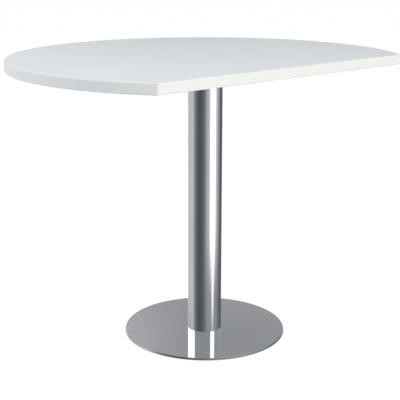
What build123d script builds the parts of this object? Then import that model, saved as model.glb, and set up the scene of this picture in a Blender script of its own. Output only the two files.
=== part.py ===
from build123d import *
import math
import os

# Pedestal table: a round top with one straight side, on a chromed column and a flat disc base.
# Millimetres, +Z up. The origin is on the floor, on the column's axis. The straight side faces -Y.

# Overall form
table_height = 730.0
top_diameter = 1000.0
straight_side_distance = 300.0  # from the column's axis to the face of the straight side
column_diameter = 88.0
base_diameter = 420.0

# Board and its edging
board_thickness = 25.0
band_thickness = 2.0
band_rounding = 1.5  # along the upper and lower edges of the edging

# Column
column_wall = 2.0
column_edge_break = 0.4  # deburred rim at both ends of the tube
plug_thickness = 10.0
plug_gap = 0.2  # all round, between a plug and the tube

# Base and the ring under it
base_thickness = 5.0
base_edge_break = 0.8  # bevel round both rims
ring_thickness = 1.0
ring_width = 22.0
ring_inset = 6.0  # from the rim of the base

# Mounting plate under the board
plate_side = 300.0
plate_thickness = 5.0
plate_corner = 24.0
plate_edge_break = 0.6

# Countersunk bolts on the column's axis, one at each end, into the plugs
bolt_diameter = 10.0
bolt_head_diameter = 20.0
bolt_clearance = 0.5  # all round, in a plain hole
thread_gap = 0.1  # all round, in a threaded hole or a wood screw's pilot
bolt_cover = 2.0  # plug left beyond the bolt's tip

# Wood screws that hold the mounting plate
screws_per_side = 2
screw_diameter = 6.0
screw_clearance = 0.4  # all round, in the plate
screw_head_diameter = 12.0
screw_head_height = 3.6
screw_head_bevel = 1.8
screw_cover = 9.0  # board left above the screw's tip
screw_tip_gap = 1.0  # pilot hole beyond the tip
screw_edge_distance = 20.0  # from a screw's axis to the edge of the plate

# Levels and fits that follow
base_underside = ring_thickness
base_top = base_underside + base_thickness
board_underside = table_height - board_thickness
plate_underside = board_underside - plate_thickness
column_length = plate_underside - base_top
column_bore_radius = column_diameter / 2 - column_wall
plug_radius = column_bore_radius - plug_gap
bolt_radius = bolt_diameter / 2
bolt_head_height = (bolt_head_diameter - bolt_diameter) / 2  # a 90 degree countersink
screw_radius = screw_diameter / 2
screw_pitch = (plate_side - 2 * screw_edge_distance) / (screws_per_side - 1)

stand_up = (Align.CENTER, Align.CENTER, Align.MIN)
hang_down = (Align.CENTER, Align.CENTER, Align.MAX)


# The top's outline, set in from the finished edge, as a slab that stands on the board's underside.
def top_slab(inset):
    radius = top_diameter / 2 - inset
    side = straight_side_distance - inset
    corner = math.sqrt(radius**2 - side**2)
    curved = ThreePointArc((-corner, -side), (0, radius), (corner, -side))
    straight = Line((corner, -side), (-corner, -side))
    outline = Pos(0, 0, board_underside) * make_face([curved, straight])
    return extrude(outline, board_thickness)


# The whole top with the edging's rounded corners and edges.
def lipped_slab():
    slab = fillet(top_slab(0).edges().filter_by(Axis.Z), band_thickness)
    levels = slab.faces().filter_by(Axis.Z)
    return fillet(levels.edges(), min(band_rounding, 0.9 * band_thickness))


# The places of the wood screws, round the rim of the plate.
def screw_places():
    grid = GridLocations(screw_pitch, screw_pitch, screws_per_side, screws_per_side)
    outer = (screws_per_side - 1) / 2 * screw_pitch
    inner = outer - screw_pitch / 2
    on_rim = [place for place in grid if max(abs(place.position.X), abs(place.position.Y)) > inner]
    return [Pos(0, 0, board_underside) * place for place in on_rim]


def tabletop_board():
    pilot_depth = board_thickness - screw_cover + screw_tip_gap
    pilot = Cylinder(screw_radius + thread_gap, pilot_depth, align=stand_up)
    return top_slab(band_thickness) - [place * pilot for place in screw_places()]


# The straight edging is laid first, and the curved one runs past its ends.
def edge_bands():
    top = lipped_slab()
    inner_disc = Cylinder(top_diameter / 2 - band_thickness, board_thickness, align=stand_up)
    strip = Box(top_diameter, band_thickness, board_thickness, align=(Align.CENTER, Align.MIN, Align.MIN))
    straight_region = Pos(0, -straight_side_distance) * strip & inner_disc
    straight = top & Pos(0, 0, board_underside) * straight_region
    curved = top - top_slab(band_thickness) - straight
    return curved, straight


# A hole for a countersunk bolt, opened from z = 0 upwards.
def bolt_hole(shank_radius, depth):
    head = Cone(bolt_head_diameter / 2, bolt_radius, bolt_head_height, align=stand_up)
    return head + Cylinder(shank_radius, depth, align=stand_up)


# A countersunk bolt, head down, through a sheet that lies below z = 0 into a plug above it.
def countersunk_bolt(sheet):
    bolt = bolt_hole(bolt_radius, sheet + plug_thickness - bolt_cover)
    bolt = chamfer(bolt.edges().sort_by(Axis.Z)[-1], bolt_radius / 4)
    return Pos(0, 0, -sheet) * bolt


def base_disc():
    disc = Pos(0, 0, base_underside) * Cylinder(base_diameter / 2, base_thickness, align=stand_up)
    disc = chamfer(disc.edges().filter_by(GeomType.CIRCLE), min(base_edge_break, base_thickness / 3))
    return disc - Pos(0, 0, base_underside) * bolt_hole(bolt_radius + bolt_clearance, base_thickness)


def floor_ring():
    outer = base_diameter / 2 - ring_inset
    ring = Circle(outer) - Circle(outer - ring_width)
    return extrude(ring, ring_thickness)


def column_tube():
    outer = Cylinder(column_diameter / 2, column_length, align=stand_up)
    outer = chamfer(outer.edges().filter_by(GeomType.CIRCLE), min(column_edge_break, column_wall / 3))
    bore = Cylinder(column_bore_radius, column_length, align=stand_up)
    return Pos(0, 0, base_top) * (outer - bore)


# A threaded disc that fills the tube's end, standing on z = 0 against a sheet that lies below it.
def column_plug(sheet):
    plug = Cylinder(plug_radius, plug_thickness, align=stand_up)
    return plug - Pos(0, 0, -sheet) * bolt_hole(bolt_radius + thread_gap, sheet + plug_thickness)


# What is bolted at the column's head is the same as at its foot, turned upside down.
def at_head(shape):
    return Pos(0, 0, plate_underside) * Rot(180, 0, 0) * shape


def top_mounting_plate():
    plate = extrude(RectangleRounded(plate_side, plate_side, plate_corner), plate_thickness)
    plate = chamfer(plate.faces().filter_by(Axis.Z).edges(), min(plate_edge_break, plate_thickness / 3))
    plate = Pos(0, 0, plate_underside) * plate
    bolt = at_head(Pos(0, 0, -plate_thickness) * bolt_hole(bolt_radius + bolt_clearance, plate_thickness))
    screw = Cylinder(screw_radius + screw_clearance, plate_thickness, align=hang_down)
    return plate - bolt - [place * screw for place in screw_places()]


# A pan-headed wood screw; z = 0 is the board's underside.
def wood_screw():
    head_level = -plate_thickness - screw_head_height
    head = Cylinder(screw_head_diameter / 2, screw_head_height, align=stand_up)
    head = chamfer(head.edges().sort_by(Axis.Z)[0], min(screw_head_bevel, 0.8 * screw_head_height))
    shank_length = plate_thickness + board_thickness - screw_cover
    shank = Cylinder(screw_radius, shank_length, align=stand_up)
    return Pos(0, 0, head_level) * head + Pos(0, 0, -plate_thickness) * shank


curved_band, straight_band = edge_bands()
head_bolt = at_head(countersunk_bolt(plate_thickness))
foot_bolt = Pos(0, 0, base_top) * countersunk_bolt(base_thickness)
pieces = {
    "tabletop_board": tabletop_board(),
    "curved_edge_band": curved_band,
    "straight_edge_band": straight_band,
    "top_mounting_plate": top_mounting_plate(),
    "mounting_plate_screws": Compound([place * wood_screw() for place in screw_places()]),
    "column_bolts": Compound([head_bolt, foot_bolt]),
    "column_head_plug": at_head(column_plug(plate_thickness)),
    "column_tube": column_tube(),
    "column_foot_plug": Pos(0, 0, base_top) * column_plug(base_thickness),
    "base_disc": base_disc(),
    "floor_ring": floor_ring(),
}

os.makedirs("parts", exist_ok=True)
for name, shape in pieces.items():
    export_step(shape, f"parts/{name}.step")
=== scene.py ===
import math

import bmesh
import bpy
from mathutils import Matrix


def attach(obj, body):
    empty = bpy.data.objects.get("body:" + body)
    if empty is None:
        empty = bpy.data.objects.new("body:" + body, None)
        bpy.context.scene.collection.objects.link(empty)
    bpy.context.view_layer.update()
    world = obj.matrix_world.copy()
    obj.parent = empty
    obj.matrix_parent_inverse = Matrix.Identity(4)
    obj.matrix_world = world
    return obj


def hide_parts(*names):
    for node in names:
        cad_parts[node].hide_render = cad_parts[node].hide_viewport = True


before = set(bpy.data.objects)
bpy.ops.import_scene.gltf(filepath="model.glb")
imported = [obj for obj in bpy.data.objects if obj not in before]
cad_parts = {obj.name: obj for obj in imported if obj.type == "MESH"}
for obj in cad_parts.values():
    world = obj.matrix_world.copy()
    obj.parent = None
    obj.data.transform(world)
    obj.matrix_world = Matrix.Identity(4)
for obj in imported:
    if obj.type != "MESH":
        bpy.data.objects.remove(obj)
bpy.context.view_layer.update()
print("frame loaded,", len(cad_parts), "nodes")

mm = 0.001  # the sizes below are in millimetres


# node helpers, shared by the materials, the geometry trees and the light

def addNode(tree, kind, **settings):
    node = tree.nodes.new(kind)
    for name, value in settings.items():
        setattr(node, name, value)
    return node


def wire(tree, source, target):
    tree.links.new(source, target)


# a socket takes a number, or what another socket gives
def feed(tree, value, socket):
    if isinstance(value, (int, float)):
        socket.default_value = value
    else:
        wire(tree, value, socket)


def mathNode(tree, operation, first, second):
    node = addNode(tree, "ShaderNodeMath", operation=operation)
    feed(tree, first, node.inputs[0])
    feed(tree, second, node.inputs[1])
    return node.outputs["Value"]


def setInputs(node, **values):
    for name, value in values.items():
        node.inputs[name.replace("_", " ")].default_value = value
    return node


# materials

def newFinish(name):
    finish = bpy.data.materials.new(name)
    finish.use_nodes = True
    return finish, finish.node_tree, finish.node_tree.nodes["Principled BSDF"]


def grainNoise(tree, stretch, detail=3.0, roughness=0.55):
    place = addNode(tree, "ShaderNodeTexCoord")
    mapping = addNode(tree, "ShaderNodeMapping")
    mapping.inputs["Scale"].default_value = stretch
    noise = addNode(tree, "ShaderNodeTexNoise")
    setInputs(noise, Scale=1.0, Detail=detail, Roughness=roughness)
    wire(tree, place.outputs["Object"], mapping.inputs["Vector"])
    wire(tree, mapping.outputs["Vector"], noise.inputs["Vector"])
    return noise.outputs["Fac"]


# noise seldom leaves the middle half of its range, so that is drawn out to the two ends
def spread(tree, source, low, high, target):
    reach = addNode(tree, "ShaderNodeMapRange")
    setInputs(reach, From_Min=0.25, From_Max=0.75, To_Min=low, To_Max=high)
    wire(tree, source, reach.inputs["Value"])
    wire(tree, reach.outputs["Result"], target)


def twoTone(tree, source, dark, light, target):
    tones = addNode(tree, "ShaderNodeValToRGB")
    tones.color_ramp.elements[0].position = 0.3
    tones.color_ramp.elements[0].color = (*dark, 1.0)
    tones.color_ramp.elements[1].position = 0.7
    tones.color_ramp.elements[1].color = (*light, 1.0)
    wire(tree, source, tones.inputs["Fac"])
    wire(tree, tones.outputs["Color"], target)


def relief(tree, source, height, strength, target):
    bump = addNode(tree, "ShaderNodeBump")
    setInputs(bump, Strength=strength, Distance=height)
    wire(tree, source, bump.inputs["Height"])
    wire(tree, bump.outputs["Normal"], target)


def whiteMelamine():
    look = {"dark": (0.77, 0.782, 0.808), "light": (0.795, 0.807, 0.833), "clouds": 9.0,
            "pearl": 1100.0, "pearlHeight": 0.00006, "relief": 0.35, "rough": (0.36, 0.42)}
    finish, tree, shader = newFinish("whiteMelamine")
    clouds = grainNoise(tree, (look["clouds"],) * 3)
    twoTone(tree, clouds, look["dark"], look["light"], shader.inputs["Base Color"])
    pearl = grainNoise(tree, (look["pearl"],) * 3, detail=2.0)
    spread(tree, pearl, *look["rough"], shader.inputs["Roughness"])
    relief(tree, pearl, look["pearlHeight"], look["relief"], shader.inputs["Normal"])
    return finish


def whiteEdging():
    look = {"dark": (0.795, 0.8, 0.808), "light": (0.815, 0.82, 0.828), "streak": (6.0, 6.0, 1400.0),
            "streakHeight": 0.00004, "relief": 0.3, "rough": (0.3, 0.38)}
    finish, tree, shader = newFinish("whiteEdging")
    streak = grainNoise(tree, look["streak"])  # drawn out along the band
    twoTone(tree, streak, look["dark"], look["light"], shader.inputs["Base Color"])
    spread(tree, streak, *look["rough"], shader.inputs["Roughness"])
    relief(tree, streak, look["streakHeight"], look["relief"], shader.inputs["Normal"])
    return finish


def polishedChrome(name, buffing):
    look = {"dark": (0.572, 0.588, 0.612), "light": (0.592, 0.608, 0.632), "rough": (0.02, 0.055),
            "film": 14.0, "buffHeight": 0.00001, "relief": 0.08}
    finish, tree, shader = newFinish(name)
    shader.inputs["Metallic"].default_value = 1.0
    film = grainNoise(tree, (look["film"],) * 3)  # a faint unevenness of the plating
    twoTone(tree, film, look["dark"], look["light"], shader.inputs["Base Color"])
    lines = grainNoise(tree, buffing, detail=2.0)
    spread(tree, lines, *look["rough"], shader.inputs["Roughness"])
    relief(tree, lines, look["buffHeight"], look["relief"], shader.inputs["Normal"])
    return finish


def blackCoat():
    look = {"dark": (0.016, 0.016, 0.017), "light": (0.026, 0.026, 0.027), "peel": 700.0,
            "peelHeight": 0.0001, "relief": 0.5, "rough": (0.42, 0.6)}
    finish, tree, shader = newFinish("blackCoat")
    peel = grainNoise(tree, (look["peel"],) * 3, detail=2.0)
    twoTone(tree, peel, look["dark"], look["light"], shader.inputs["Base Color"])
    spread(tree, peel, *look["rough"], shader.inputs["Roughness"])
    relief(tree, peel, look["peelHeight"], look["relief"], shader.inputs["Normal"])
    return finish


def zincPlate():
    look = {"dark": (0.5, 0.5, 0.47), "light": (0.64, 0.65, 0.66), "bloom": 260.0, "rough": (0.22, 0.42)}
    finish, tree, shader = newFinish("zincPlate")
    shader.inputs["Metallic"].default_value = 1.0
    bloom = grainNoise(tree, (look["bloom"],) * 3)
    twoTone(tree, bloom, look["dark"], look["light"], shader.inputs["Base Color"])
    spread(tree, bloom, *look["rough"], shader.inputs["Roughness"])
    return finish


def turnedSteel():
    look = {"dark": (0.3, 0.3, 0.3), "light": (0.42, 0.42, 0.42), "turning": 900.0,
            "wander": 1.5, "rough": (0.3, 0.5)}
    finish, tree, shader = newFinish("turnedSteel")
    shader.inputs["Metallic"].default_value = 1.0
    place = addNode(tree, "ShaderNodeTexCoord")
    rings = addNode(tree, "ShaderNodeTexWave", wave_type="RINGS", rings_direction="Z")
    setInputs(rings, Scale=look["turning"], Distortion=look["wander"], Detail=2.0)
    wire(tree, place.outputs["Object"], rings.inputs["Vector"])
    twoTone(tree, rings.outputs["Fac"], look["dark"], look["light"], shader.inputs["Base Color"])
    spread(tree, rings.outputs["Fac"], *look["rough"], shader.inputs["Roughness"])
    return finish


def floorRubber():
    look = {"dark": (0.018, 0.018, 0.018), "light": (0.034, 0.034, 0.034), "grit": 1500.0,
            "gritHeight": 0.00012, "relief": 0.5, "rough": (0.7, 0.9)}
    finish, tree, shader = newFinish("floorRubber")
    grit = grainNoise(tree, (look["grit"],) * 3)
    twoTone(tree, grit, look["dark"], look["light"], shader.inputs["Base Color"])
    spread(tree, grit, *look["rough"], shader.inputs["Roughness"])
    relief(tree, grit, look["gritHeight"], look["relief"], shader.inputs["Normal"])
    return finish


melamine = whiteMelamine()
edging = whiteEdging()
columnChrome = polishedChrome("columnChrome", (3.0, 3.0, 500.0))  # buffed round the tube
baseChrome = polishedChrome("baseChrome", (160.0, 160.0, 160.0))  # buffed all ways
coat = blackCoat()
zinc = zincPlate()
steel = turnedSteel()
rubber = floorRubber()
print("materials ready")


# geometry tree helpers

def newTree(name, *sizes):
    tree = bpy.data.node_groups.new(name, "GeometryNodeTree")
    tree.is_modifier = True
    tree.interface.new_socket("Geometry", in_out="INPUT", socket_type="NodeSocketGeometry")
    for label, kind in sizes:
        tree.interface.new_socket(label, in_out="INPUT", socket_type=kind)
    tree.interface.new_socket("Geometry", in_out="OUTPUT", socket_type="NodeSocketGeometry")
    return tree, addNode(tree, "NodeGroupInput").outputs


def endTree(tree, geometry, material):
    real = addNode(tree, "GeometryNodeRealizeInstances")
    paint = addNode(tree, "GeometryNodeSetMaterial")
    out = addNode(tree, "NodeGroupOutput")
    wire(tree, geometry, real.inputs["Geometry"])
    wire(tree, real.outputs["Geometry"], paint.inputs["Geometry"])
    wire(tree, material, paint.inputs["Material"])
    wire(tree, paint.outputs["Geometry"], out.inputs["Geometry"])


def combine(tree, x=None, y=None, z=None):
    node = addNode(tree, "ShaderNodeCombineXYZ")
    for axis, value in zip("XYZ", (x, y, z)):
        if value is not None:
            wire(tree, value, node.inputs[axis])
    return node.outputs["Vector"]


def moved(tree, geometry, offset, tilt=(0.0, 0.0, 0.0)):
    node = addNode(tree, "GeometryNodeTransform")
    node.inputs["Rotation"].default_value = tilt
    wire(tree, geometry, node.inputs["Geometry"])
    wire(tree, offset, node.inputs["Translation"])
    return node.outputs["Geometry"]


# runs a tree on an object and leaves the result as a plain mesh with its own name
def growMesh(source, tree, sizes, name):
    modifier = source.modifiers.new("grow", "NODES")
    modifier.node_group = tree
    for item in tree.interface.items_tree:
        if item.in_out == "INPUT" and item.name in sizes:
            modifier[item.identifier] = sizes[item.name]
    grown = plainMesh(source, name)
    bpy.data.objects.remove(source)
    return grown


def plainMesh(source, name):
    bpy.context.view_layer.update()
    graph = bpy.context.evaluated_depsgraph_get()
    mesh = bpy.data.meshes.new_from_object(source.evaluated_get(graph), depsgraph=graph)
    mesh.name = name
    return linkObject(name, mesh)


def linkObject(name, data):
    made = bpy.data.objects.new(name, data)
    bpy.context.scene.collection.objects.link(made)
    return made


# large faces keep their own direction, so that only the small roundings shade smoothly
def smoothByArea(piece):
    for face in piece.data.polygons:
        face.use_smooth = True
    weighted = piece.modifiers.new("weighted", "WEIGHTED_NORMAL")
    weighted.mode = "FACE_AREA"
    weighted.weight = 100
    name = piece.name
    piece.name = name + "Raw"
    smoothed = plainMesh(piece, name)
    bpy.data.objects.remove(piece)
    return smoothed


# a piece that isn't mirrored is left out of the column's reflections, as the base is in the photo
def placePiece(piece, slot, *nodes, mirrored=True):
    piece.visible_glossy = mirrored
    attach(piece, "root")
    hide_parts(*nodes)
    print(piece.name, "stands for", ", ".join(nodes), "with", len(piece.data.polygons), "faces")


# sections turned about the Z axis

def inMetres(section):
    return [(radius * mm, level * mm) for radius, level in section]


def ringOf(shape, radius, level, steps):
    turn = [2 * math.pi * step / steps for step in range(steps)]
    return [shape.verts.new((radius * math.cos(a), radius * math.sin(a), level)) for a in turn]


def joinRings(shape, lower, upper):
    for here in range(len(lower)):
        after = (here + 1) % len(lower)
        shape.faces.new((lower[here], lower[after], upper[after], upper[here]))


def closedObject(name, shape):
    bmesh.ops.recalc_face_normals(shape, faces=shape.faces)
    mesh = bpy.data.meshes.new(name)
    shape.to_mesh(mesh)
    shape.free()
    return linkObject(name, mesh)


def turnedObject(name, section, steps):
    shape = bmesh.new()
    rings = [ringOf(shape, radius, level, steps) for radius, level in section]
    for lower, upper in zip(rings, rings[1:]):
        joinRings(shape, lower, upper)
    shape.faces.new(list(reversed(rings[0])))
    shape.faces.new(rings[-1])
    return closedObject(name, shape)


# the top: a board and two edge bands

top = {"radius": 500.0, "straightSide": 300.0, "thickness": 25.0, "height": 730.0,
       "band": 2.0, "rounding": 1.5, "arcSteps": 360, "cornerSteps": 8, "roundingSteps": 6, "weld": 0.01}

underside = top["height"] - top["thickness"]
innerRadius = top["radius"] - top["band"]
innerSide = top["straightSide"] - top["band"]
innerCorner = math.sqrt(innerRadius**2 - innerSide**2)
seam = math.sqrt(innerRadius**2 - top["straightSide"] ** 2)  # where the two bands meet
cornerAngle = math.atan2(-innerSide, innerCorner)


def arcPoints(radius, start, end, steps, centre=(0.0, 0.0)):
    angles = [start + (end - start) * step / steps for step in range(steps + 1)]
    return [(centre[0] + radius * math.cos(a), centre[1] + radius * math.sin(a)) for a in angles]


# outline of the board, inside the bands
def boardOutline():
    return arcPoints(innerRadius, cornerAngle, math.pi - cornerAngle, top["arcSteps"])


# outer line of the curved band, round both corners and on to the seams
def curvedOutline():
    down = -math.pi / 2
    right = arcPoints(top["band"], down, cornerAngle, top["cornerSteps"], (innerCorner, -innerSide))
    sweep = arcPoints(top["radius"], cornerAngle, math.pi - cornerAngle, top["arcSteps"])
    left = [(-x, y) for x, y in reversed(right)]
    ends = [(seam, -top["straightSide"])]
    return ends + right[:-1] + sweep + left[1:] + [(-x, y) for x, y in ends]


def straightOutline():
    return [(-seam, -top["straightSide"]), (seam, -top["straightSide"])]


def pathObject(name, points, level, closed=False):
    curve = bpy.data.curves.new(name, "CURVE")
    curve.dimensions = "3D"
    spline = curve.splines.new("POLY")
    spline.points.add(len(points) - 1)
    for point, (x, y) in zip(spline.points, points):
        point.co = (x * mm, y * mm, level * mm, 1.0)
    spline.use_cyclic_u = closed
    return linkObject(name, curve)


# a band with rounded edges, swept along a path that runs with its outside on the right
def edgingTree():
    tree, size = newTree("edgingTree", ("Band", "NodeSocketFloat"), ("Height", "NodeSocketFloat"),
                         ("Rounding", "NodeSocketFloat"), ("Steps", "NodeSocketInt"),
                         ("Finish", "NodeSocketMaterial"))
    section = addNode(tree, "GeometryNodeCurvePrimitiveQuadrilateral", mode="RECTANGLE")
    wire(tree, size["Band"], section.inputs["Width"])
    wire(tree, size["Height"], section.inputs["Height"])
    place = addNode(tree, "GeometryNodeInputPosition")
    axes = addNode(tree, "ShaderNodeSeparateXYZ")
    wire(tree, place.outputs["Position"], axes.inputs["Vector"])
    outside = mathNode(tree, "GREATER_THAN", axes.outputs["X"], 0.0)
    rounding = mathNode(tree, "MULTIPLY", outside, size["Rounding"])
    rounded = addNode(tree, "GeometryNodeFilletCurve", mode="POLY")
    wire(tree, section.outputs["Curve"], rounded.inputs["Curve"])
    wire(tree, rounding, rounded.inputs["Radius"])
    wire(tree, size["Steps"], rounded.inputs["Count"])
    inwards = mathNode(tree, "MULTIPLY", size["Band"], -0.5)
    inside = moved(tree, rounded.outputs["Curve"], combine(tree, x=inwards))
    upright = addNode(tree, "GeometryNodeSetCurveNormal", mode="Z_UP")
    wire(tree, size["Geometry"], upright.inputs["Curve"])
    swept = addNode(tree, "GeometryNodeCurveToMesh")
    swept.inputs["Fill Caps"].default_value = True
    wire(tree, upright.outputs["Curve"], swept.inputs["Curve"])
    wire(tree, inside, swept.inputs["Profile Curve"])
    endTree(tree, swept.outputs["Mesh"], size["Finish"])
    return tree


def edgeBand(name, outline, tree):
    path = pathObject(name + "Path", outline, underside + top["thickness"] / 2)
    sizes = {"Band": top["band"] * mm, "Height": top["thickness"] * mm, "Rounding": top["rounding"] * mm,
             "Steps": top["roundingSteps"], "Finish": edging}
    return smoothByArea(growMesh(path, tree, sizes, name))


edgingSweep = edgingTree()
placePiece(edgeBand("curvedBand", curvedOutline(), edgingSweep), "white_edging", "curved_edge_band")
placePiece(edgeBand("straightBand", straightOutline(), edgingSweep), "white_edging", "straight_edge_band")


# the wood screws' places, at the corners of a square, and their holes in the board
screws = {"pitch": 260.0, "perSide": 2, "pilotRadius": 3.1, "pilotDepth": 17.0, "pilotSteps": 24, "seed": 7}


def squareOfPoints(tree, pitch, perSide, level):
    reach = mathNode(tree, "MULTIPLY", pitch, mathNode(tree, "SUBTRACT", perSide, 1.0))
    grid = addNode(tree, "GeometryNodeMeshGrid")
    for side in ("X", "Y"):
        wire(tree, reach, grid.inputs["Size " + side])
        wire(tree, perSide, grid.inputs["Vertices " + side])
    return moved(tree, grid.outputs["Mesh"], combine(tree, z=level))


# the board fills its outline, stands up to its thickness and has blind holes for the screws below
def boardTree():
    tree, size = newTree("boardTree", ("Thickness", "NodeSocketFloat"), ("Pitch", "NodeSocketFloat"),
                         ("Per Side", "NodeSocketInt"), ("Hole Radius", "NodeSocketFloat"),
                         ("Hole Depth", "NodeSocketFloat"), ("Level", "NodeSocketFloat"),
                         ("Finish", "NodeSocketMaterial"))
    filled = addNode(tree, "GeometryNodeFillCurve", mode="NGONS")
    wire(tree, size["Geometry"], filled.inputs["Curve"])
    raised = addNode(tree, "GeometryNodeExtrudeMesh", mode="FACES")
    raised.inputs["Individual"].default_value = False
    wire(tree, filled.outputs["Mesh"], raised.inputs["Mesh"])
    wire(tree, size["Thickness"], raised.inputs["Offset Scale"])
    below = addNode(tree, "GeometryNodeFlipFaces")
    wire(tree, filled.outputs["Mesh"], below.inputs["Mesh"])
    both = addNode(tree, "GeometryNodeJoinGeometry")
    wire(tree, below.outputs["Mesh"], both.inputs["Geometry"])
    wire(tree, raised.outputs["Mesh"], both.inputs["Geometry"])
    closed = addNode(tree, "GeometryNodeMergeByDistance")
    closed.inputs["Distance"].default_value = top["weld"] * mm
    wire(tree, both.outputs["Geometry"], closed.inputs["Geometry"])
    lifted = moved(tree, closed.outputs["Geometry"], combine(tree, z=size["Level"]))
    hole = addNode(tree, "GeometryNodeMeshCylinder", fill_type="NGON")
    hole.inputs["Vertices"].default_value = screws["pilotSteps"]
    wire(tree, size["Hole Radius"], hole.inputs["Radius"])
    wire(tree, mathNode(tree, "MULTIPLY", size["Hole Depth"], 2.0), hole.inputs["Depth"])
    rows = squareOfPoints(tree, size["Pitch"], size["Per Side"], size["Level"])
    drilled = addNode(tree, "GeometryNodeInstanceOnPoints")
    wire(tree, rows, drilled.inputs["Points"])
    wire(tree, hole.outputs["Mesh"], drilled.inputs["Instance"])
    holes = addNode(tree, "GeometryNodeRealizeInstances")
    wire(tree, drilled.outputs["Instances"], holes.inputs["Geometry"])
    cut = addNode(tree, "GeometryNodeMeshBoolean", operation="DIFFERENCE")
    wire(tree, lifted, cut.inputs["Mesh 1"])
    wire(tree, holes.outputs["Geometry"], cut.inputs["Mesh 2"])
    endTree(tree, cut.outputs["Mesh"], size["Finish"])
    return tree


def whiteBoard():
    outline = pathObject("boardPath", boardOutline(), 0.0, closed=True)
    sizes = {"Thickness": top["thickness"] * mm, "Pitch": screws["pitch"] * mm,
             "Per Side": screws["perSide"], "Hole Radius": screws["pilotRadius"] * mm,
             "Hole Depth": screws["pilotDepth"] * mm, "Level": underside * mm, "Finish": melamine}
    return smoothByArea(growMesh(outline, boardTree(), sizes, "whiteBoard"))


placePiece(whiteBoard(), "white_melamine", "tabletop_board")


# column and floor ring: upright rings with softened rims

column = {"outer": 44.0, "wall": 2.0, "foot": 6.0, "head": 700.0, "rim": 0.4, "rimSteps": 3, "steps": 256}
floorRing = {"outer": 204.0, "wall": 22.0, "foot": 0.0, "head": 1.0, "rim": 0.2, "rimSteps": 3, "steps": 256}


def ringTree():
    tree, size = newTree("ringTree", ("Outer", "NodeSocketFloat"), ("Wall", "NodeSocketFloat"),
                         ("Foot", "NodeSocketFloat"), ("Head", "NodeSocketFloat"),
                         ("Rim", "NodeSocketFloat"), ("Rim Steps", "NodeSocketInt"),
                         ("Steps", "NodeSocketInt"), ("Finish", "NodeSocketMaterial"))
    height = mathNode(tree, "SUBTRACT", size["Head"], size["Foot"])
    section = addNode(tree, "GeometryNodeCurvePrimitiveQuadrilateral", mode="RECTANGLE")
    wire(tree, size["Wall"], section.inputs["Width"])
    wire(tree, height, section.inputs["Height"])
    softened = addNode(tree, "GeometryNodeFilletCurve", mode="POLY")
    wire(tree, section.outputs["Curve"], softened.inputs["Curve"])
    wire(tree, size["Rim Steps"], softened.inputs["Count"])
    wire(tree, size["Rim"], softened.inputs["Radius"])
    middle = mathNode(tree, "SUBTRACT", size["Outer"], mathNode(tree, "MULTIPLY", size["Wall"], 0.5))
    circle = addNode(tree, "GeometryNodeCurvePrimitiveCircle", mode="RADIUS")
    wire(tree, size["Steps"], circle.inputs["Resolution"])
    wire(tree, middle, circle.inputs["Radius"])
    upright = addNode(tree, "GeometryNodeSetCurveNormal", mode="Z_UP")
    wire(tree, circle.outputs["Curve"], upright.inputs["Curve"])
    turned = addNode(tree, "GeometryNodeCurveToMesh")
    wire(tree, upright.outputs["Curve"], turned.inputs["Curve"])
    wire(tree, softened.outputs["Curve"], turned.inputs["Profile Curve"])
    lift = mathNode(tree, "MULTIPLY", mathNode(tree, "ADD", size["Head"], size["Foot"]), 0.5)
    endTree(tree, moved(tree, turned.outputs["Mesh"], combine(tree, z=lift)), size["Finish"])
    return tree


def uprightRing(name, tree, ring, finish):
    blank = linkObject(name + "Blank", bpy.data.meshes.new(name + "Blank"))
    sizes = {"Outer": ring["outer"] * mm, "Wall": ring["wall"] * mm, "Foot": ring["foot"] * mm,
             "Head": ring["head"] * mm, "Rim": ring["rim"] * mm, "Rim Steps": ring["rimSteps"],
             "Steps": ring["steps"], "Finish": finish}
    return smoothByArea(growMesh(blank, tree, sizes, name))


ringSweep = ringTree()
chromeColumn = uprightRing("chromeColumn", ringSweep, column, columnChrome)
placePiece(chromeColumn, "polished_chrome", "column_tube")
softRing = uprightRing("softRing", ringSweep, floorRing, rubber)
placePiece(softRing, "black_rubber", "floor_ring", mirrored=False)


# base disc with a countersunk hole, and the bolts at both ends of the column

bolts = {"radius": 5.0, "headRadius": 10.0, "length": 13.0, "clearance": 0.5, "pitch": 1.5,
         "threadDepth": 0.9, "runout": 0.6, "tip": 1.2, "socket": 6.0, "socketDepth": 3.0,
         "footLevel": 1.0, "headLevel": 705.0}
base = {"radius": 210.0, "foot": 1.0, "top": 6.0, "rim": 0.35, "rimSteps": 4, "steps": 320, "holeSteps": 48}
cutPast = 0.5  # how far a cutter reaches past the face that it opens


# cuts a hole, set at a level, out of a disc
def drilledTree():
    tree, size = newTree("drilledTree", ("Level", "NodeSocketFloat"), ("Hole", "NodeSocketObject"),
                         ("Finish", "NodeSocketMaterial"))
    hole = addNode(tree, "GeometryNodeObjectInfo")
    wire(tree, size["Hole"], hole.inputs["Object"])
    cut = addNode(tree, "GeometryNodeMeshBoolean", operation="DIFFERENCE")
    wire(tree, size["Geometry"], cut.inputs["Mesh 1"])
    wire(tree, moved(tree, hole.outputs["Geometry"], combine(tree, z=size["Level"])), cut.inputs["Mesh 2"])
    endTree(tree, cut.outputs["Mesh"], size["Finish"])
    return tree


def discSection():
    inset = base["radius"] - base["rim"]
    lower = arcPoints(base["rim"], -math.pi / 2, 0.0, base["rimSteps"], (inset, base["foot"] + base["rim"]))
    upper = arcPoints(base["rim"], 0.0, math.pi / 2, base["rimSteps"], (inset, base["top"] - base["rim"]))
    return inMetres(lower + upper)


def holeSection():
    shank = bolts["radius"] + bolts["clearance"]
    cone = bolts["headRadius"] - shank
    return inMetres([(bolts["headRadius"] + cutPast, -cutPast), (bolts["headRadius"], 0.0), (shank, cone),
                     (shank, base["top"] - base["foot"] + cutPast)])


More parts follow.
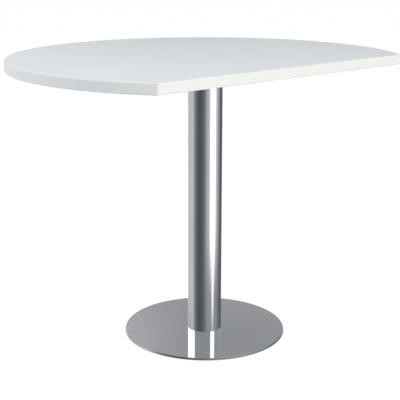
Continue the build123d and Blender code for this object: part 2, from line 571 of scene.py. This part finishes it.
def chromeDisc():
    hole = turnedObject("boltHole", holeSection(), base["holeSteps"])
    blank = turnedObject("discBlank", discSection(), base["steps"])
    sizes = {"Level": bolts["footLevel"] * mm, "Hole": hole, "Finish": baseChrome}
    disc = smoothByArea(growMesh(blank, drilledTree(), sizes, "chromeDisc"))
    bpy.data.objects.remove(hole)
    return disc


placePiece(chromeDisc(), "polished_chrome", "base_disc", mirrored=False)


# a thread as a ridge that climbs one pitch a turn, on rows of points up a shank that tapers to a tip
def threadedShank(shape, radius, depth, pitch, start, length, taper, steps=28, rowsPerTurn=6, tipShare=0.08):
    rowCount = int(length / pitch * rowsPerTurn)
    rows = []
    for row in range(rowCount + 1):
        level = start + length * row / rowCount
        left = max(0.0, start + length - level)
        full = max(tipShare, min(1.0, left / taper))
        ring = []
        for step in range(steps):
            phase = (level / pitch - step / steps) % 1.0
            ridge = 1.0 - abs(2.0 * phase - 1.0)
            reach = (radius - depth * (1.0 - ridge)) * full
            angle = 2 * math.pi * step / steps
            ring.append(shape.verts.new((reach * math.cos(angle), reach * math.sin(angle), level)))
        rows.append(ring)
    for lower, upper in zip(rows, rows[1:]):
        joinRings(shape, lower, upper)
    shape.faces.new(rows[-1])
    return rows[0]


# closes a head's turned section onto the first row of the thread
def headOnShank(shape, section, firstRow):
    previous = firstRow
    for radius, level in section:
        ring = ringOf(shape, radius, level, len(firstRow))
        joinRings(shape, ring, previous)
        previous = ring
    shape.faces.new(list(reversed(previous)))


def cutRecess(fastener, cutter):
    cut = fastener.modifiers.new("recess", "BOOLEAN")
    cut.operation = "DIFFERENCE"
    cut.solver = "EXACT"
    cut.object = cutter
    name = fastener.name
    fastener.name = name + "Blank"
    made = plainMesh(fastener, name)
    bpy.data.objects.remove(fastener)
    bpy.data.objects.remove(cutter)
    return made


def prismObject(name, outline, low, high, narrowing=1.0):
    shape = bmesh.new()
    floor = [shape.verts.new((x * mm, y * mm, low * mm)) for x, y in outline]
    lid = [shape.verts.new((x * narrowing * mm, y * narrowing * mm, high * mm)) for x, y in outline]
    shape.faces.new(list(reversed(floor)))
    shape.faces.new(lid)
    joinRings(shape, floor, lid)
    return closedObject(name, shape)


# a countersunk bolt that stands on its head at z = 0
def socketBolt():
    shape = bmesh.new()
    neck = bolts["headRadius"] - bolts["radius"]
    shank = [value * mm for value in (bolts["radius"], bolts["threadDepth"], bolts["pitch"])]
    start = neck + bolts["runout"]
    first = threadedShank(shape, *shank, start=start * mm, length=(bolts["length"] - start) * mm,
                          taper=bolts["tip"] * mm)
    headOnShank(shape, inMetres([(bolts["radius"], neck), (bolts["headRadius"], 0.0)]), first)
    reach = bolts["socket"] / math.sqrt(3)
    hexagon = arcPoints(reach, 0.0, 2 * math.pi * 5 / 6, 5)
    socket = prismObject("boltSocket", hexagon, -cutPast, bolts["socketDepth"])
    return cutRecess(closedObject("socketBolt", shape), socket)


# one bolt stands on its head in the base, and one hangs by its head in the mounting plate
def boltTree():
    tree, size = newTree("boltTree", ("Foot Level", "NodeSocketFloat"), ("Head Level", "NodeSocketFloat"),
                         ("Bolt", "NodeSocketObject"), ("Finish", "NodeSocketMaterial"))
    bolt = addNode(tree, "GeometryNodeObjectInfo")
    wire(tree, size["Bolt"], bolt.inputs["Object"])
    both = addNode(tree, "GeometryNodeJoinGeometry")
    for level, tilt in (("Foot Level", 0.0), ("Head Level", math.pi)):
        placed = moved(tree, bolt.outputs["Geometry"], combine(tree, z=size[level]), (tilt, 0.0, 0.0))
        wire(tree, placed, both.inputs["Geometry"])
    endTree(tree, both.outputs["Geometry"], size["Finish"])
    return tree


def columnBolts():
    bolt = socketBolt()
    blank = linkObject("boltsBlank", bpy.data.meshes.new("boltsBlank"))
    sizes = {"Foot Level": bolts["footLevel"] * mm, "Head Level": bolts["headLevel"] * mm,
             "Bolt": bolt, "Finish": zinc}
    group = growMesh(blank, boltTree(), sizes, "columnBolts")
    bpy.data.objects.remove(bolt)
    return group


placePiece(columnBolts(), "zinc_plated_steel", "column_bolts", mirrored=False)


# wood screws that hold the mounting plate

woodScrew = {"radius": 3.0, "threadDepth": 1.0, "pitch": 2.6, "headRadius": 6.0, "headHeight": 3.6,
             "plate": 5.0, "reach": 16.0, "tip": 5.0, "recess": 6.4, "slot": 1.5, "recessDepth": 2.0,
             "narrowing": 0.55, "domeSteps": 5}


# z = 0 is the board's underside, with the head below the plate
def panScrew():
    shape = bmesh.new()
    thread = [value * mm for value in (woodScrew["radius"], woodScrew["threadDepth"], woodScrew["pitch"])]
    first = threadedShank(shape, *thread, start=0.0, length=woodScrew["reach"] * mm,
                          taper=woodScrew["tip"] * mm)
    seat = -woodScrew["plate"]
    crown = seat - woodScrew["headHeight"]
    dome = woodScrew["headHeight"] / 2
    rim = arcPoints(dome, 0.0, -math.pi / 2, woodScrew["domeSteps"],
                    (woodScrew["headRadius"] - dome, crown + dome))
    neck = [(woodScrew["radius"], seat), (woodScrew["headRadius"], seat)]
    headOnShank(shape, inMetres(neck + rim), first)
    half = woodScrew["recess"] / 2
    slim = woodScrew["slot"] / 2
    quarter = [(half, -slim), (half, slim), (slim, slim)]
    cross = [turnQuarter(point, turn) for turn in range(4) for point in quarter]
    cutter = prismObject("screwCross", cross, crown - cutPast, crown + woodScrew["recessDepth"],
                         woodScrew["narrowing"])
    return cutRecess(closedObject("panScrew", shape), cutter)


def turnQuarter(point, turns):
    x, y = point
    for turn in range(turns):
        x, y = -y, x
    return x, y


def screwTree():
    tree, size = newTree("screwTree", ("Pitch", "NodeSocketFloat"), ("Per Side", "NodeSocketInt"),
                         ("Level", "NodeSocketFloat"), ("Seed", "NodeSocketInt"),
                         ("Screw", "NodeSocketObject"), ("Finish", "NodeSocketMaterial"))
    screw = addNode(tree, "GeometryNodeObjectInfo")
    wire(tree, size["Screw"], screw.inputs["Object"])
    rows = squareOfPoints(tree, size["Pitch"], size["Per Side"], size["Level"])
    chance = addNode(tree, "FunctionNodeRandomValue", data_type="FLOAT")  # each stops at its own turn
    least, most = [socket for socket in chance.inputs if socket.type == "VALUE"][:2]
    least.default_value = 0.0
    most.default_value = math.pi
    wire(tree, size["Seed"], chance.inputs["Seed"])
    turn = [socket for socket in chance.outputs if socket.type == "VALUE"][0]
    group = addNode(tree, "GeometryNodeInstanceOnPoints")
    wire(tree, rows, group.inputs["Points"])
    wire(tree, screw.outputs["Geometry"], group.inputs["Instance"])
    wire(tree, combine(tree, z=turn), group.inputs["Rotation"])
    endTree(tree, group.outputs["Instances"], size["Finish"])
    return tree


def plateScrews():
    screw = panScrew()
    blank = linkObject("screwsBlank", bpy.data.meshes.new("screwsBlank"))
    sizes = {"Pitch": screws["pitch"] * mm, "Per Side": screws["perSide"], "Level": underside * mm,
             "Seed": screws["seed"], "Screw": screw, "Finish": zinc}
    group = growMesh(blank, screwTree(), sizes, "plateScrews")
    bpy.data.objects.remove(screw)
    return group


placePiece(plateScrews(), "zinc_plated_steel", "mounting_plate_screws")


# the plate and the plugs keep their own solids

for node, finish in (("top_mounting_plate", coat), ("column_head_plug", steel), ("column_foot_plug", steel)):
    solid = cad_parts[node]
    solid.data.materials.clear()
    solid.data.materials.append(finish)
print("plate and plugs painted")


# camera, floor and light

photo = {"imageSide": 400.0, "focalPixels": 966.9, "axisPixel": (188.65, 160.75), "sensor": 36.0,
         "distance": 2.43621, "bearing": -131.87, "height": 1.00955, "heading": 49.125, "pitch": 12.726}


def addCamera():
    lens = bpy.data.cameras.new("photoCamera")
    lens.sensor_width = photo["sensor"]
    lens.lens = photo["focalPixels"] / photo["imageSide"] * photo["sensor"]
    centre = photo["imageSide"] / 2
    lens.shift_x = (centre - photo["axisPixel"][0]) / photo["imageSide"]
    lens.shift_y = (photo["axisPixel"][1] - centre) / photo["imageSide"]
    camera = linkObject("photoCamera", lens)
    bearing = math.radians(photo["bearing"])
    camera.location = (photo["distance"] * math.cos(bearing), photo["distance"] * math.sin(bearing),
                       photo["height"])
    camera.rotation_euler = (math.radians(90 - photo["pitch"]), 0.0, math.radians(photo["heading"] - 90))
    bpy.context.scene.camera = camera


# white to the camera, with a trace of the object's shadow and a painted contact shadow where something all
# but touches the floor
def addFloor():
    look = {"side": 60.0, "albedo": 0.8, "shadowShare": 0.3, "glow": 0.85, "paintedContactShadow": 0.004}
    mesh = bpy.data.meshes.new("floor")
    reach = look["side"] / 2
    corners = [(-reach, -reach, 0.0), (reach, -reach, 0.0), (reach, reach, 0.0), (-reach, reach, 0.0)]
    mesh.from_pydata(corners, [], [(0, 1, 2, 3)])
    floor = linkObject("floor", mesh)
    finish = bpy.data.materials.new("paleFloor")
    finish.use_nodes = True
    tree = finish.node_tree
    tree.nodes.clear()
    out = addNode(tree, "ShaderNodeOutputMaterial")
    matte = addNode(tree, "ShaderNodeBsdfDiffuse")
    matte.inputs["Color"].default_value = (look["albedo"],) * 3 + (1.0,)
    glow = addNode(tree, "ShaderNodeEmission")
    paintedContactShadow = addNode(tree, "ShaderNodeAmbientOcclusion")  # painted contact shadow: the floor's glow is darkened where something all but touches it
    paintedContactShadow.inputs["Distance"].default_value = look["paintedContactShadow"]
    strength = mathNode(tree, "MULTIPLY", paintedContactShadow.outputs["AO"], look["glow"] / (1.0 - look["shadowShare"]))
    wire(tree, strength, glow.inputs["Strength"])
    rays = addNode(tree, "ShaderNodeLightPath")
    seen = mathNode(tree, "MULTIPLY", rays.outputs["Is Camera Ray"], 1.0 - look["shadowShare"])
    blend = addNode(tree, "ShaderNodeMixShader")
    wire(tree, seen, blend.inputs["Fac"])
    wire(tree, matte.outputs["BSDF"], blend.inputs[1])
    wire(tree, glow.outputs["Emission"], blend.inputs[2])
    wire(tree, blend.outputs["Shader"], out.inputs["Surface"])
    mesh.materials.append(finish)
    floor.visible_glossy = False


# what the metal mirrors at five heights, as (degrees to the right of the camera's side, brightness)
brightLeft = [(-180, 0.45), (-165, 0.8), (-122, 0.77), (-92, 0.86)]
dimFront = [(-77, 0.44), (-60, 0.2), (-45, 0.13), (-30, 0.125), (-13, 0.17)]
dimBack = [(125, 0.15), (180, 0.15)]
mirroredRounds = {
    "under": [(-180, 0.4), (-165, 0.52), (-120, 0.55), (-92, 0.8), *dimFront,
              (1, 0.24), (21, 0.42), (66, 0.44), (82, 0.4), *dimBack],
    "lowest": [*brightLeft, *dimFront,
               (1, 0.25), (21, 0.46), (45, 0.47), (58, 2.1), (69, 0.5), (82, 0.42), *dimBack],
    "low": [*brightLeft, *dimFront,
            (1, 0.31), (14, 0.62), (32, 0.86), (38, 2.2), (74, 2.2), (79, 1.05), (100, 0.5), *dimBack],
    "walls": [(-180, 0.46), (-177, 0.47), (-172, 0.68), (-166, 0.85), (-130, 0.7),
              (-90, 0.62), (0, 0.66), (90, 0.62), (180, 0.5)],
    "panels": [(-180, 0.42), (-178, 0.48), (-175, 0.63), (-168, 0.8), (-158, 3.1), (-76, 3.1), (-68, 0.66),
               (39, 0.66), (46, 3.1), (68, 3.1), (76, 0.71), (150, 0.7), (172, 0.45), (180, 0.42)],
}
# from below upwards, each with the heights between which it takes over
surround = {
    "first": "under",
    "order": [("lowest", (-0.4, -0.344)), ("low", (-0.36, -0.28)), ("walls", (-0.02, 0.1)),
              ("panels", (0.345, 0.385)), ("walls", (0.43, 0.47)), ("overhead", (0.6, 0.8))],
    "overhead": 0.8,
    "tint": (1.0, 0.985, 0.997),
    "fading": (1.0, 0.962, 0.948),  # dark parts are cooler than bright ones
}
ambient = {"level": 0.62, "tint": (0.937, 0.97, 1.008)}
lamps = {
    "keyLamp": {"turn": 55.5, "rise": 17.0, "distance": 5.0, "side": 2.0, "power": 97.0,
                "tint": (1.0, 0.975, 0.79)},
    "sideLamp": {"turn": -92.0, "rise": 8.0, "distance": 3.0, "side": 1.6, "power": 22.0,
                 "tint": (0.97, 0.99, 1.0)},
    "topLamp": {"turn": 0.0, "rise": 54.0, "distance": 1.5, "side": 0.8, "power": 6.2,
                "tint": (0.97, 0.99, 1.0)},
}


def brightnessRamp(tree, turn, stops):
    ramp = addNode(tree, "ShaderNodeValToRGB")
    peak = max(value for angle, value in stops)
    elements = ramp.color_ramp.elements
    while len(elements) < len(stops):
        elements.new(0.5)
    for element, (angle, value) in zip(elements, stops):
        element.position = (angle + 180) / 360
        element.color = (value / peak,) * 3 + (1.0,)
    wire(tree, turn, ramp.inputs["Fac"])
    return mathNode(tree, "MULTIPLY", ramp.outputs["Color"], peak)


def blendByHeight(tree, height, low, high, below, above):
    rise = addNode(tree, "ShaderNodeMapRange", interpolation_type="SMOOTHSTEP")
    setInputs(rise, From_Min=low, From_Max=high)
    wire(tree, height, rise.inputs["Value"])
    mix = addNode(tree, "ShaderNodeMix", data_type="FLOAT")
    wire(tree, rise.outputs["Result"], mix.inputs["Factor"])
    feed(tree, below, mix.inputs["A"])
    feed(tree, above, mix.inputs["B"])
    return mix.outputs["Result"]


def tintedLevel(tree, level):
    colour = addNode(tree, "ShaderNodeCombineColor")
    for channel, share, power in zip(("Red", "Green", "Blue"), surround["tint"], surround["fading"]):
        faded = mathNode(tree, "POWER", level, power)
        wire(tree, mathNode(tree, "MULTIPLY", faded, share), colour.inputs[channel])
    return colour.outputs["Color"]


def backgroundNode(tree, tint=(1.0, 1.0, 1.0), strength=1.0):
    node = addNode(tree, "ShaderNodeBackground")
    node.inputs["Color"].default_value = (*tint, 1.0)
    node.inputs["Strength"].default_value = strength
    return node


def chosenShader(tree, choice, usual, chosen):
    node = addNode(tree, "ShaderNodeMixShader")
    wire(tree, choice, node.inputs["Fac"])
    wire(tree, usual, node.inputs[1])
    wire(tree, chosen, node.inputs[2])
    return node.outputs["Shader"]


# white to the camera, the panels above to mirrors, and an even light to all else
def addSurround():
    world = bpy.data.worlds.new("studio")
    bpy.context.scene.world = world
    world.use_nodes = True
    tree = world.node_tree
    tree.nodes.clear()
    out = addNode(tree, "ShaderNodeOutputWorld")
    place = addNode(tree, "ShaderNodeTexCoord")
    turned = addNode(tree, "ShaderNodeMapping")
    turned.inputs["Rotation"].default_value = (0.0, 0.0, math.radians(-photo["bearing"]))
    wire(tree, place.outputs["Generated"], turned.inputs["Vector"])
    axes = addNode(tree, "ShaderNodeSeparateXYZ")
    wire(tree, turned.outputs["Vector"], axes.inputs["Vector"])
    angle = mathNode(tree, "ARCTAN2", axes.outputs["Y"], axes.outputs["X"])
    turn = mathNode(tree, "ADD", mathNode(tree, "DIVIDE", angle, 2 * math.pi), 0.5)
    levels = {name: brightnessRamp(tree, turn, stops) for name, stops in mirroredRounds.items()}
    levels["overhead"] = surround["overhead"]
    level = levels[surround["first"]]
    for name, heights in surround["order"]:
        level = blendByHeight(tree, axes.outputs["Z"], *heights, level, levels[name])
    mirrored = backgroundNode(tree)
    wire(tree, tintedLevel(tree, level), mirrored.inputs["Color"])
    even = backgroundNode(tree, ambient["tint"], ambient["level"])
    white = backgroundNode(tree)
    rays = addNode(tree, "ShaderNodeLightPath")
    shown = chosenShader(tree, rays.outputs["Is Glossy Ray"], even.outputs["Background"],
                         mirrored.outputs["Background"])
    shown = chosenShader(tree, rays.outputs["Is Camera Ray"], shown, white.outputs["Background"])
    wire(tree, shown, out.inputs["Surface"])


# each lamp faces the middle of the top; the metal mirrors the surround instead
def addLamp(name, look):
    light = bpy.data.lights.new(name, "AREA")
    light.size = look["side"]
    light.energy = look["power"]
    light.color = look["tint"]
    lamp = linkObject(name, light)
    turn = math.radians(photo["bearing"] + look["turn"])
    rise = math.radians(look["rise"])
    flat = look["distance"] * math.cos(rise)
    height = top["height"] * mm + look["distance"] * math.sin(rise)
    lamp.location = (flat * math.cos(turn), flat * math.sin(turn), height)
    lamp.rotation_euler = (math.pi / 2 - rise, 0.0, turn + math.pi / 2)
    lamp.visible_glossy = False


addCamera()
addFloor()
addSurround()
for lampName, lampLook in lamps.items():
    addLamp(lampName, lampLook)
bpy.context.scene.view_settings.view_transform = "Standard"
print("camera, floor and light set")
